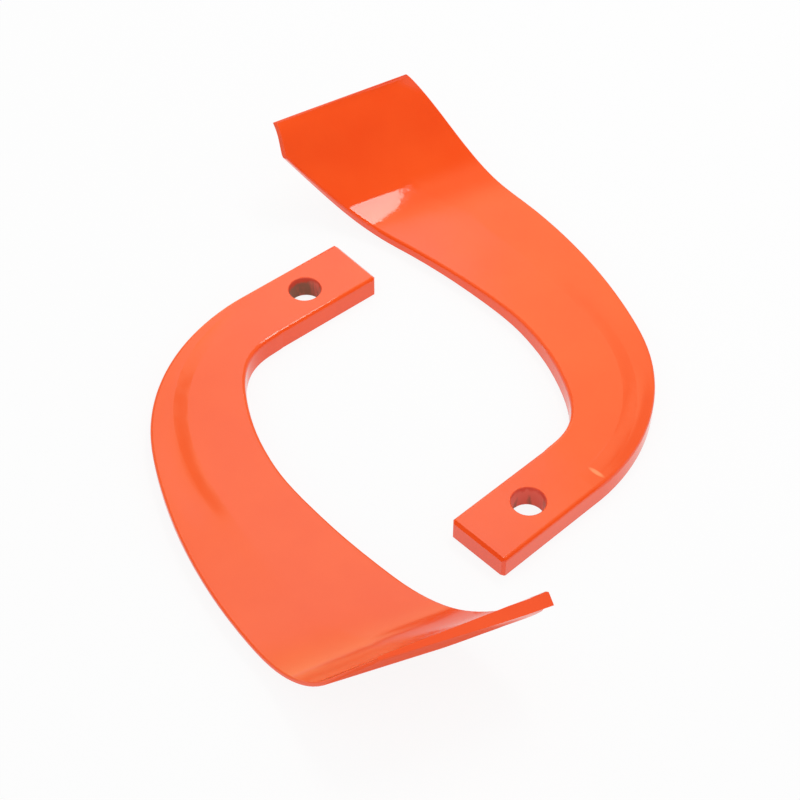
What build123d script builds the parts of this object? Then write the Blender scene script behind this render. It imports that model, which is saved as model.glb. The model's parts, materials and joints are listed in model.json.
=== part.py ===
"""A pair of rotavator blades: two like forgings that lie flat, each about half a turn from the other.

Each blade is one bar of spring steel. Its straight shank goes into a holder on the rotor and takes one bolt.
Past the neck the bar is drawn out into a hooked plate, thick along its inner back and thin along its outer
cutting edge, with a shallow forged step along the round of the heel, and the end of the plate is bent up
into a scoop.
"""

import os
from math import atan2, cos, pi, radians, sin, tan

from build123d import *

# Shank: a straight flat bar, along X, with the bolt hole on the blade's own Z axis
shank_width = 25.4
shank_thickness = 9.5
shank_rounding = 1.4
end_break = 1.1
hole_diameter = 12.5
hole_rim_break = 0.3
hole_to_end = 25.4
hole_to_neck = 21.0

# Inner edge, from the neck to the bend: a tight hook, a sweep and a nearly straight back
hook_lead = 3.7
hook_radius = 28.0
hook_angle = 55.7
sweep_radius = 98.4
sweep_angle = 32.7
back_radius = 320.0
back_angle = 10.0

# Outer edge, from the neck to the bend: a round heel, then the long cutting edge
heel_lead = 2.4
heel_radius = 78.7
heel_angle = 63.0
cutting_radius = 214.0
cutting_angle = 24.6

# Wedge: the back's and the cutting edge's thickness, and how the plate falls from one to the other
back_at_bend = 4.6
back_at_tip = 4.4
edge_at_bend = 2.0
edge_at_tip = 1.1
edge_lift = 1.0
edge_run_in_ratio = 0.9
back_rounding = 1.2
edge_rounding_at_bend = 0.7
edge_rounding_at_tip = 0.4
underside_break_ratio = 0.6
bevel_at_neck = 9.0
bevel_at_bend = 24.0
bevel_at_tip = 46.0

# Forged step: the bevel starts with a low ramp, deepest by the neck and run out before the bend
step_depth = 0.5
step_run = 5.5
step_start_ratio = 0.12
step_end_ratio = 0.56

# Scoop: the end of the plate, bent up about the line that joins the ends of the two edges
bend_radius = 45.5
bend_angle = 57.5
scoop_length = 64.2
inner_curl_ratio = 0.13
outer_curl_ratio = 0.157
tip_shift = 26.8
tip_skew_angle = 1.9
tip_twist_angle = 2.0

# How the two blades lie: the bolt hole's place and the shank's direction, seen from above
blade_one_hole = (44.8, -57.0)
blade_one_angle = 43.8
blade_two_hole = (-36.8, 50.0)
blade_two_angle = 220.3

# Sections that the plate and the scoop are drawn through, and the arcs that round a corner of one
plate_steps = 12
scoop_steps = 5
arcs_per_corner = 2


def smooth(start, end, share):
    """A value that goes from start to end with no corner at either, as share goes from 0 to 1."""
    share = min(max(share, 0.0), 1.0)
    return start + (end - start) * share * share * (3 - 2 * share)


def even(start, end, share):
    """A value that goes evenly from start to end, as share goes from 0 to 1."""
    return start + (end - start) * share


def corner(x, y, start_angle, end_angle, radius):
    """A round about (x, y) between two directions in radians, in a few arcs so that it meshes lightly."""
    halves = 2 * arcs_per_corner
    angles = [even(start_angle, end_angle, n / halves) for n in range(halves + 1)]
    points = [(x + radius * cos(angle), y + radius * sin(angle)) for angle in angles]
    return [ThreePointArc(*points[n : n + 3]) for n in range(0, halves, 2)]


def wedge(middle_of_back, across, up, width, back, edge, lift, step, bevel, back_round, edge_round):
    """A section of the blade: level by its thick back, down a step, and falling to its thin edge."""
    top, bottom = back / 2, -back / 2
    edge_top, edge_bottom = lift + edge / 2 - step, lift - edge / 2
    fall = atan2(top - step - edge_top, bevel)
    edge_break, back_break = underside_break_ratio * edge_round, underside_break_ratio * back_round
    edge_corner = corner(width - edge_round, edge_top - edge_round, 0, pi / 2 - fall, edge_round)
    back_corner = corner(back_round, top - back_round, pi / 2, pi, back_round)
    edge_foot, edge_side = (width - edge_break, edge_bottom), (width, edge_bottom + edge_break)
    back_foot, back_side = (back_break, bottom), (0, bottom + back_break)
    knee = Vector(width - bevel, top)
    land_end = edge_corner[-1] @ 1
    up_the_land = Vector(-1, tan(fall))
    step_foot = land_end + up_the_land * (land_end.X - knee.X - step_run)
    third = step_run / 3
    keel = Vector(width - bevel, bottom)
    keel_start = keel - Vector(step_run / 2, 0)
    keel_end = keel + (Vector(*edge_foot) - keel).normalized() * (step_run / 2)
    outline = [
        Line(edge_foot, edge_side),
        Line(edge_side, edge_corner[0] @ 0),
        *edge_corner,
        Line(land_end, step_foot),
        Bezier(step_foot, step_foot + up_the_land * third, knee + Vector(third, 0), knee),
        Line(knee, back_corner[0] @ 0),
        *back_corner,
        Line(back_corner[-1] @ 1, back_side),
        Line(back_side, back_foot),
        Line(back_foot, keel_start),
        Bezier(keel_start, keel, keel_end),
        Line(keel_end, edge_foot),
    ]
    plane = Plane(origin=middle_of_back, x_dir=across, z_dir=across.cross(up))
    return plane * Face(Wire(outline))


def inner_edge():
    """The concave edge in plan, from the neck to the bend."""
    side = shank_width / 2
    lead = Line((hole_to_neck, side), (hole_to_neck + hook_lead, side))
    hook = JernArc(lead @ 1, lead % 1, hook_radius, hook_angle)
    sweep = JernArc(hook @ 1, hook % 1, sweep_radius, sweep_angle)
    back = JernArc(sweep @ 1, sweep % 1, back_radius, back_angle)
    return Wire([lead, hook, sweep, back])


def outer_edge():
    """The convex cutting edge in plan, from the neck to the bend."""
    side = -shank_width / 2
    lead = Line((hole_to_neck, side), (hole_to_neck + heel_lead, side))
    heel = JernArc(lead @ 1, lead % 1, heel_radius, heel_angle)
    cutting = JernArc(heel @ 1, heel % 1, cutting_radius, cutting_angle)
    return Wire([lead, heel, cutting])


def plate_sections(inner, outer):
    """Sections from the neck to the bend line, fanned round the hook."""
    up = Vector(0, 0, 1)
    sections = []
    for place in range(plate_steps + 1):
        share = place / plate_steps
        thinned = share / edge_run_in_ratio
        pressed = smooth(0, step_depth, share / step_start_ratio)
        fading = (share - step_start_ratio) / (step_end_ratio - step_start_ratio)
        start, end = inner @ share, outer @ share
        across = end - start
        sections.append(
            wedge(
                start + up * (shank_thickness / 2),
                across.normalized(),
                up,
                across.length,
                smooth(shank_thickness, back_at_bend, share),
                smooth(shank_thickness, edge_at_bend, thinned),
                smooth(0, edge_lift, share),
                smooth(pressed, 0, fading),
                smooth(bevel_at_neck, bevel_at_bend, share),
                smooth(shank_rounding, back_rounding, share),
                smooth(shank_rounding, edge_rounding_at_bend, thinned),
            )
        )
    return sections


def scoop_sections(inner, outer):
    """Sections round the bend and up the scoop, which skew and twist slightly on their way to the end."""
    start, end = inner @ 1, outer @ 1
    bend_line = (end - start).normalized()
    level = Vector(0, 0, 1)
    forward = level.cross(bend_line)
    inner_lean = -(inner % 1).dot(bend_line) / (inner % 1).dot(forward)
    outer_lean = -(outer % 1).dot(bend_line) / (outer % 1).dot(forward)
    turn = radians(bend_angle)
    skew, twist = tan(radians(tip_skew_angle)), tan(radians(tip_twist_angle))
    sections = []
    for place in range(1, scoop_steps + 1):
        share = place / scoop_steps
        length = scoop_length * share
        turned = min(length / bend_radius, turn)
        past = max(length - bend_radius * turn, 0.0)
        ahead = bend_radius * sin(turned) + past * cos(turned)
        height = bend_radius * (1 - cos(turned)) + past * sin(turned)
        inner_shift = length * (inner_lean + inner_curl_ratio * share)
        outer_shift = length * (outer_lean + outer_curl_ratio * share * share)
        up_the_scoop = forward * cos(turned) + level * sin(turned)
        off_the_scoop = level * cos(turned) - forward * sin(turned)
        across = bend_line + (up_the_scoop * skew + off_the_scoop * twist) * share * share
        sections.append(
            wedge(
                start + level * (shank_thickness / 2 + height) + forward * ahead - bend_line * inner_shift,
                across.normalized(),
                off_the_scoop,
                (end - start).length + inner_shift - outer_shift,
                even(back_at_bend, back_at_tip, share),
                even(edge_at_bend, edge_at_tip, share),
                even(edge_lift, 0, share),
                0,
                even(bevel_at_bend, bevel_at_tip, share),
                back_rounding,
                even(edge_rounding_at_bend, edge_rounding_at_tip, share),
            )
        )
    return sections


def tip_trim(inner, outer):
    """What the tip loses on its inner side: all past a plane square to the bend line."""
    across = (outer @ 1 - inner @ 1).normalized()
    reach = 2 * scoop_length
    plane = Plane(origin=inner @ 1 - across * tip_shift, x_dir=Vector(0, 0, 1), z_dir=across * -1)
    return plane * Box(reach, reach, reach, align=(Align.CENTER, Align.CENTER, Align.MIN))


def shank():
    """The straight bar with its bolt hole, its long edges round above and broken below."""
    middle = Pos((hole_to_neck - hole_to_end) / 2, 0, shank_thickness / 2)
    bar = middle * Box(hole_to_neck + hole_to_end, shank_width, shank_thickness)
    bar = fillet(bar.edges().filter_by(Axis.X).group_by(Axis.Z)[-1], shank_rounding)
    bar = chamfer(bar.edges().filter_by(Axis.X).group_by(Axis.Z)[0], underside_break_ratio * shank_rounding)
    bar = chamfer(bar.faces().sort_by(Axis.X)[0].edges(), end_break)
    bar -= Pos(0, 0, shank_thickness / 2) * Cylinder(hole_diameter / 2, 2 * shank_thickness)
    rims = bar.edges().filter_by(GeomType.CIRCLE).group_by(SortBy.RADIUS)[-1]
    return chamfer(rims, hole_rim_break)


def blade():
    """One whole blade, its bolt hole on the Z axis and its shank's underside on Z = 0."""
    inner, outer = inner_edge(), outer_edge()
    plate = loft(plate_sections(inner, outer) + scoop_sections(inner, outer))
    return shank() + (plate - tip_trim(inner, outer))


def main():
    """Lay the two blades down and put the origin under the middle of the pair."""
    os.makedirs("parts", exist_ok=True)
    forging = blade()
    places = {
        "blade_one": Pos(*blade_one_hole) * Rot(0, 0, blade_one_angle),
        "blade_two": Pos(*blade_two_hole) * Rot(0, 0, blade_two_angle),
    }
    box = Compound([place * forging for place in places.values()]).bounding_box()
    to_origin = Pos(-box.center().X, -box.center().Y, -box.min.Z)
    for name, place in places.items():
        export_step(to_origin * place * forging, f"parts/{name}.step")
        print(name, "bolt hole at", (to_origin * place).position, "volume", forging.volume)


main()
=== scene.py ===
import json
from math import pi, radians

import bmesh
import bpy
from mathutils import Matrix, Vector

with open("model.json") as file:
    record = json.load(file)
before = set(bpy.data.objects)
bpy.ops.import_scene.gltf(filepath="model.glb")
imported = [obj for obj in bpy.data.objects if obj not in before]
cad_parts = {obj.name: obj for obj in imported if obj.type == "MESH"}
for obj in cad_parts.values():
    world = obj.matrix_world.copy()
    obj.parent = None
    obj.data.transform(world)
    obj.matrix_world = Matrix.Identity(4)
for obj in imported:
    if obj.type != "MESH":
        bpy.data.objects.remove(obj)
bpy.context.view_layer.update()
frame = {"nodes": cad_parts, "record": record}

# The two blades: spring steel forgings, sprayed all over with one thick coat of orange enamel, which is
# a little deeper in tone where it pooled. The next seven sections colour, dull and press this one coat, and
# one of them paints a glint on it.
enamel_orange = (0.96, 0.094, 0.014, 1.0)
enamel_deep = (0.93, 0.080, 0.011, 1.0)
mottle_size, mottle_detail = 0.03, 3.0
pool_start, pool_full = 0.35, 0.70


def add_node(tree, kind, sockets, **settings):
    """A new shader node with these settings, and with a value or a link on each socket named."""
    new_node = tree.nodes.new("ShaderNode" + kind)
    for setting, choice in settings.items():
        setattr(new_node, setting, choice)
    for socket, value in sockets.items():
        if isinstance(value, bpy.types.NodeSocket):
            tree.links.new(value, new_node.inputs[socket])
        else:
            new_node.inputs[socket].default_value = value
    return new_node


def fade(tree, measure, none_at, full_at, way="SMOOTHSTEP"):
    """A mask that goes from 0 to 1 as the measure goes from none_at to full_at."""
    limits = {"Value": measure, "From Min": none_at, "From Max": full_at}
    return add_node(tree, "MapRange", limits, interpolation_type=way).outputs["Result"]


def blend(tree, kind, mask, plain, full):
    """A colour (RGBA) or a number (FLOAT) that goes from plain to full as the mask goes from 0 to 1."""
    shares = {"Factor": mask, "A": plain, "B": full}
    return add_node(tree, "Mix", shares, data_type=kind).outputs["Result"]


enamel = bpy.data.materials.new("orange_enamel_coat")
enamel.use_nodes = True
coat_tree = enamel.node_tree
coat = coat_tree.nodes["Principled BSDF"]
spot = add_node(coat_tree, "TexCoord", {}).outputs["Object"]
mottle_grain = {"Vector": spot, "Scale": 1 / mottle_size, "Detail": mottle_detail}
mottle = add_node(coat_tree, "TexNoise", mottle_grain).outputs["Fac"]
pooled = fade(coat_tree, mottle, pool_start, pool_full, "LINEAR")
coat_colour = blend(coat_tree, "RGBA", pooled, enamel_orange, enamel_deep)
for name in ("blade_one", "blade_two"):
    blade = frame["nodes"][name]
    blade.data.materials.clear()
    blade.data.materials.append(enamel)

# A painted glint on the heel of the nearer blade: a pale spindle about 7 mm long that lies across the start
# of the forged step, where that start catches the light. The enamel's colour is made paler there to stand
# in for the reflection.
glint_paint_colour = (0.97, 0.27, 0.11, 1.0)
glint_middle = (0.0674, -0.0391, 0.0092)
glint_half = (0.0042, 0.0012, 0.004)
glint_turn = radians(-41.0)
glint_edge, glint_core = 1.0, 0.35


def seen_from(middle, turn=0.0, half=(1.0, 1.0, 1.0)):
    """Where a spot of the coat lies, seen from a middle that is turned about Z, in halves of a patch."""
    patch = {"Vector": spot, "Location": middle, "Rotation": (0.0, 0.0, turn), "Scale": half}
    return add_node(coat_tree, "Mapping", patch, vector_type="TEXTURE").outputs["Vector"]


def length_of(reach):
    """How far a spot lies from where it is seen."""
    return add_node(coat_tree, "VectorMath", {0: reach}, operation="LENGTH").outputs["Value"]


# The painted glint: inside this spindle the coat's colour goes pale, as a highlight would make it.
from_glint = length_of(seen_from(glint_middle, glint_turn, glint_half))
glint_painted = fade(coat_tree, from_glint, glint_edge, glint_core)
coat_colour = blend(coat_tree, "RGBA", glint_painted, coat_colour, glint_paint_colour)

# The bolt holes: drilled before painting. Red overspray reaches the top of each wall, and below it
# the wall is rust and bare steel in streaks that run the way the drill went.
overspray_red = (0.80, 0.070, 0.025, 1.0)
bore_rust = (0.92, 0.190, 0.125, 1.0)
bore_steel = (0.36, 0.150, 0.080, 1.0)
bore_radius = 0.00625
rim_start, rim_full = bore_radius + 0.0003, bore_radius + 0.0001
streaks_in_a_metre, streak_detail = (280.0, 280.0, 90.0), 4.0
barer_to_the_left = -2.0
bare_start, bare_full = 0.42, 0.60
spray_raggedness = 0.006
spray_start, spray_full = 0.0095, 0.0115


def laid_flat(reach):
    """The same reach with its height left out, as in a plan."""
    plan = {0: reach, 1: (1.0, 1.0, 0.0)}
    return add_node(coat_tree, "VectorMath", plan, operation="MULTIPLY").outputs["Vector"]


def work_out(tree, operation, *numbers):
    """One sum of two or three numbers."""
    return add_node(tree, "Math", dict(enumerate(numbers)), operation=operation).outputs["Value"]


bores = 0.0
for mount in frame["record"]["mounts"]:
    if mount["kind"] == "bore":
        hole_x, hole_y = mount["pos_m"][:2]
        from_axis = length_of(laid_flat(seen_from((hole_x, hole_y, 0.0))))
        in_this_bore = fade(coat_tree, from_axis, rim_start, rim_full, "LINEAR")
        bores = work_out(coat_tree, "MAXIMUM", in_this_bore, bores)
place = add_node(coat_tree, "SeparateXYZ", {"Vector": spot}).outputs
along_the_drill = add_node(coat_tree, "Mapping", {"Vector": spot, "Scale": streaks_in_a_metre})
streak_grain = {"Vector": along_the_drill.outputs["Vector"], "Scale": 1.0, "Detail": streak_detail}
streaks = add_node(coat_tree, "TexNoise", streak_grain).outputs["Fac"]
bareness = work_out(coat_tree, "MULTIPLY_ADD", place["X"], barer_to_the_left, streaks)
bare = fade(coat_tree, bareness, bare_start, bare_full, "LINEAR")
wall_colour = blend(coat_tree, "RGBA", bare, bore_rust, bore_steel)
ragged_height = work_out(coat_tree, "MULTIPLY_ADD", streaks, spray_raggedness, place["Z"])
sprayed = fade(coat_tree, ragged_height, spray_start, spray_full)
wall_colour = blend(coat_tree, "RGBA", sprayed, wall_colour, overspray_red)
coat_colour = blend(coat_tree, "RGBA", bores, coat_colour, wall_colour)
coat_tree.links.new(coat_colour, coat.inputs["Base Color"])

# The run of the forged step over the heel, in the coat's own relief: near the neck a low brow carries the
# step out towards the edge, and past the place where the step runs out a shallow crease tails off from it,
# pressed deeper on the farther blade. Radii are from the middle of each heel, and bearings run to the bend.
crease_depth = 0.00022
heel_one, heel_turn_one = (0.0140, 0.0114, 0.0), radians(33.5)
heel_two, heel_turn_two = (-0.0140, -0.0109, 0.0), radians(-150.0)
tail_radii, tail_bearings = (0.0635, 0.0700, 0.0700, 0.0800), (-44.0, -6.0, 7.0, 18.0)
brow_radii, brow_bearings = (0.0685, 0.0740, 0.0740, 0.0785), (-82.0, -66.0, -52.0, -30.0)
rise_radii, rise_bearings = (0.0680, 0.0740, 0.0900, 0.1000), (-82.0, -66.0, -60.0, -36.0)
tail_height_one, tail_height_two, brow_height = -0.35, -1.0, 1.6
step_height = 0.0
for middle, turn, radii, bearings, height in (
    (heel_one, heel_turn_one, tail_radii, tail_bearings, tail_height_one),
    (heel_one, heel_turn_one, brow_radii, brow_bearings, brow_height),
    (heel_two, heel_turn_two, tail_radii, tail_bearings, tail_height_two),
    (heel_two, heel_turn_two, rise_radii, rise_bearings, brow_height),
):
    round_the_heel = laid_flat(seen_from(middle, turn))
    sides = add_node(coat_tree, "SeparateXYZ", {"Vector": round_the_heel}).outputs
    radius = length_of(round_the_heel)
    bearing = work_out(coat_tree, "ARCTAN2", sides["Y"], sides["X"])
    for measure, none_at, full_at in (
        (radius, radii[0], radii[1]),
        (radius, radii[3], radii[2]),
        (bearing, radians(bearings[0]), radians(bearings[1])),
        (bearing, radians(bearings[3]), radians(bearings[2])),
    ):
        flank = fade(coat_tree, measure, none_at, full_at)
        height = work_out(coat_tree, "MULTIPLY", flank, height)
    step_height = work_out(coat_tree, "ADD", height, step_height)
step_relief = {"Height": step_height, "Strength": 1.0, "Distance": crease_depth}
skin = add_node(coat_tree, "Bump", step_relief).outputs["Normal"]

# The bend nearest to the camera, on blade two: the wet coat sagged into its hollow, and dried there with
# a duller gloss than elsewhere.
sag_roughness = 0.16
bend_middle = (0.008, -0.112, 0.014)
bend_half = (0.060, 0.030, 0.030)
sag_edge, sag_core = 1.0, 0.5
from_bend = length_of(seen_from(bend_middle, half=bend_half))
sagged = fade(coat_tree, from_bend, sag_edge, sag_core)

# The tips of the scoops: the trimmed wall, the end face and the underside lay away from the spray and
# caught a thin, dry coat with hardly any gloss. Each is a plane through the tip's corner, given by the way
# it faces. The coat within 0.3 mm of a flat face is dry, and within 1.6 mm of the hollow underside.
dry_roughness = 0.85
tip_one, tip_turn_one = (-0.0529, 0.1181, 0.0403), radians(-151.3)
tip_two, tip_turn_two = (0.0463, -0.1214, 0.0403), radians(25.2)
trimmed_wall = (1.0, 0.0, 0.0)
scoop_end = (0.033, -0.537, 0.843)
scoop_underside = (-0.065, -0.886, -0.459)
flat_start, flat_full = -0.0003, -0.0001
hollow_start, hollow_full = -0.0016, -0.0006
reach_start, reach_full = 0.085, 0.080
bent_up_start, bent_up_full = 0.012, 0.018
dry_faces = 0.0
for corner, turn in ((tip_one, tip_turn_one), (tip_two, tip_turn_two)):
    at_the_tip = seen_from(corner, turn)
    near_tip = fade(coat_tree, length_of(at_the_tip), reach_start, reach_full, "LINEAR")
    for outward, none_at, full_at in (
        (trimmed_wall, flat_start, flat_full),
        (scoop_end, flat_start, flat_full),
        (scoop_underside, hollow_start, hollow_full),
    ):
        facing = {0: at_the_tip, 1: outward}
        past_the_face = add_node(coat_tree, "VectorMath", facing, operation="DOT_PRODUCT").outputs["Value"]
        on_the_face = fade(coat_tree, past_the_face, none_at, full_at)
        on_this_tip = work_out(coat_tree, "MULTIPLY", on_the_face, near_tip)
        dry_faces = work_out(coat_tree, "MAXIMUM", on_this_tip, dry_faces)
bent_up = fade(coat_tree, place["Z"], bent_up_start, bent_up_full, "LINEAR")
dried = work_out(coat_tree, "MULTIPLY", dry_faces, bent_up)

# The coat's gloss: nearly a mirror, and a little duller where the enamel pooled. It is duller still in the
# sagged bend, and rough on the dry tips and down the bolt holes, where no thick coat flowed out.
gloss_roughness = 0.035
dull_roughness = 0.065
bore_roughness = 0.55
roughness = blend(coat_tree, "FLOAT", mottle, gloss_roughness, dull_roughness)
for mask, rougher in ((sagged, sag_roughness), (dried, dry_roughness), (bores, bore_roughness)):
    roughness = blend(coat_tree, "FLOAT", mask, roughness, rougher)
coat_tree.links.new(roughness, coat.inputs["Roughness"])

# The coat's skin, over the run of the forged step: hammer waves too low to feel, a fine orange peel, and
# dust nibs the size of a pinhead that dried into the enamel.
wave_size, wave_detail = 0.018, 0.0
peel_size, peel_detail = 0.0022, 1.0
nib_spacing, nib_edge, nib_top = 0.011, 0.045, 0.015
wave_strength, wave_depth = 0.10, 0.0010
peel_strength, peel_depth = 0.03, 0.0003
nib_strength, nib_depth = 0.10, 0.0002
wave_grain = {"Vector": spot, "Scale": 1 / wave_size, "Detail": wave_detail}
waves = add_node(coat_tree, "TexNoise", wave_grain).outputs["Fac"]
peel_grain = {"Vector": spot, "Scale": 1 / peel_size, "Detail": peel_detail}
peel = add_node(coat_tree, "TexNoise", peel_grain).outputs["Fac"]
dust = add_node(coat_tree, "TexVoronoi", {"Vector": spot, "Scale": 1 / nib_spacing}).outputs["Distance"]
nibs = fade(coat_tree, dust, nib_edge, nib_top)
for relief, strength, depth in (
    (waves, wave_strength, wave_depth),
    (peel, peel_strength, peel_depth),
    (nibs, nib_strength, nib_depth),
):
    raised = {"Height": relief, "Strength": strength, "Distance": depth, "Normal": skin}
    skin = add_node(coat_tree, "Bump", raised).outputs["Normal"]
coat_tree.links.new(skin, coat.inputs["Normal"])

# The floor: a white paper sweep that the pair lies on. The camera and the gloss see it as white,
# and a part of its real shade stays, so that the blades' soft shadow still lies on it.
floor_white = (0.85, 0.85, 0.85, 1.0)
floor_half = 3.0
paper_roughness, paper_shine = 0.9, 0.1
paper_glow = 0.9
floor_mesh = bpy.data.meshes.new("floor")
sheet = bmesh.new()
bmesh.ops.create_grid(sheet, x_segments=1, y_segments=1, size=floor_half)
sheet.to_mesh(floor_mesh)
sheet.free()
floor = bpy.data.objects.new("floor", floor_mesh)
bpy.context.scene.collection.objects.link(floor)
paper = bpy.data.materials.new("white_paper")
paper.use_nodes = True
paper_tree = paper.node_tree
paper_face = paper_tree.nodes["Principled BSDF"]
paper_face.inputs["Base Color"].default_value = floor_white
paper_face.inputs["Roughness"].default_value = paper_roughness
paper_face.inputs["Specular IOR Level"].default_value = paper_shine
ray = add_node(paper_tree, "LightPath", {}).outputs
seen = ray["Is Camera Ray"]
for other_ray in ("Is Glossy Ray", "Is Transmission Ray"):
    seen = work_out(paper_tree, "MAXIMUM", seen, ray[other_ray])
glow_share = work_out(paper_tree, "MULTIPLY", seen, paper_glow)
glow = add_node(paper_tree, "Emission", {"Strength": 1.0}).outputs["Emission"]
faces = {"Fac": glow_share, 1: paper_face.outputs["BSDF"], 2: glow}
paper_look = add_node(paper_tree, "MixShader", faces).outputs["Shader"]
paper_tree.links.new(paper_look, paper_tree.nodes["Material Output"].inputs["Surface"])
floor_mesh.materials.append(paper)

# The light: an even white room, a little brighter on the camera's side. In the gloss it is a white wall
# behind the pair, dark in front, with a bright panel from the horizon up over the wall. The panel is pale
# in its middle and warm to the right and at the far left. The camera itself sees plain white.
plain_white = (1.0, 1.0, 1.0, 1.0)
front_light, back_light = 1.05, 0.55
wall_light, dark_side = 1.0, 0.12
panel_light = 2.15
panel_white = (1.0, 1.0, 0.82, 1.0)
panel_warm = (1.0, 0.84, 0.47, 1.0)
panel_slant = -0.4
panel_left, panel_right = (-0.57, -0.47), (0.30, 0.06)
panel_low, panel_away = (-0.15, 0.08), (-0.06, 0.24)
warm_right, warm_left = (-0.27, -0.19), (-0.04, -0.26)
world = bpy.data.worlds.new("studio")
world.use_nodes = True
bpy.context.scene.world = world
room_tree = world.node_tree
direction = add_node(room_tree, "TexCoord", {}).outputs["Generated"]
along = add_node(room_tree, "SeparateXYZ", {"Vector": direction}).outputs
room = room_tree.nodes["Background"]
room.inputs["Color"].default_value = plain_white
to_the_back = fade(room_tree, along["Y"], -1.0, 1.0, "LINEAR")
room_level = blend(room_tree, "FLOAT", to_the_back, front_light, back_light)
room_tree.links.new(room_level, room.inputs["Strength"])
slant = work_out(room_tree, "MULTIPLY_ADD", along["Z"], panel_slant, along["X"])
away = fade(room_tree, along["Y"], *panel_away)
low = fade(room_tree, along["Z"], *panel_low)
on_panel = away
for edge in (fade(room_tree, slant, *panel_left), fade(room_tree, along["X"], *panel_right), low):
    on_panel = work_out(room_tree, "MULTIPLY", on_panel, edge)
wall_level = blend(room_tree, "FLOAT", away, dark_side, wall_light)
gloss_level = work_out(room_tree, "MULTIPLY_ADD", on_panel, panel_light - wall_light, wall_level)
warm_to_the_right = fade(room_tree, slant, *warm_right)
warm_to_the_left = fade(room_tree, along["X"], *warm_left)
warmth = work_out(room_tree, "MAXIMUM", warm_to_the_right, warm_to_the_left)
panel_tint = blend(room_tree, "RGBA", warmth, panel_white, panel_warm)
gloss_tint = blend(room_tree, "RGBA", low, plain_white, panel_tint)
gloss_room = add_node(room_tree, "Background", {"Color": gloss_tint, "Strength": gloss_level})
camera_room = add_node(room_tree, "Background", {"Color": plain_white})
ray = add_node(room_tree, "LightPath", {}).outputs
room_look = room.outputs["Background"]
for looker, its_room in (("Is Camera Ray", camera_room), ("Is Glossy Ray", gloss_room)):
    rooms = {"Fac": ray[looker], 1: room_look, 2: its_room.outputs["Background"]}
    room_look = add_node(room_tree, "MixShader", rooms).outputs["Shader"]
room_tree.links.new(room_look, room_tree.nodes["World Output"].inputs["Surface"])

# The key: one rectangular soft box that hangs overhead, behind the pair and to the right. One corner of it
# shows in the bend of the farther scoop.
key_level = 8.0
key_width, key_length = 0.16, 0.40
key_place = (0.148, 0.256, 0.75)
key_turn = radians(30.3)
key_light = bpy.data.lights.new("soft_box", "AREA")
key_light.shape = "RECTANGLE"
key_light.size = key_width
key_light.size_y = key_length
key_light.energy = key_level * pi * key_width * key_length
key = bpy.data.objects.new("soft_box", key_light)
key.location = key_place
key.rotation_euler = (0.0, 0.0, key_turn)
bpy.context.scene.collection.objects.link(key)

# The camera: as the photograph was taken, from in front and 47 degrees above the floor, with a long lens
# on a full frame.
view_height = 47.0
view_distance = 0.7017
view_centre = Vector((-0.0020, 0.0046, 0.0))
lens_length, film_width = 84.7, 36.0
camera_data = bpy.data.cameras.new("camera")
camera_data.sensor_width = film_width
camera_data.lens = lens_length
camera = bpy.data.objects.new("camera", camera_data)
camera.rotation_euler = (radians(90.0 - view_height), 0.0, 0.0)
camera.location = view_centre + camera.rotation_euler.to_matrix() @ Vector((0.0, 0.0, view_distance))
bpy.context.scene.collection.objects.link(camera)
bpy.context.scene.camera = camera
bpy.context.scene.view_settings.view_transform = "Standard"
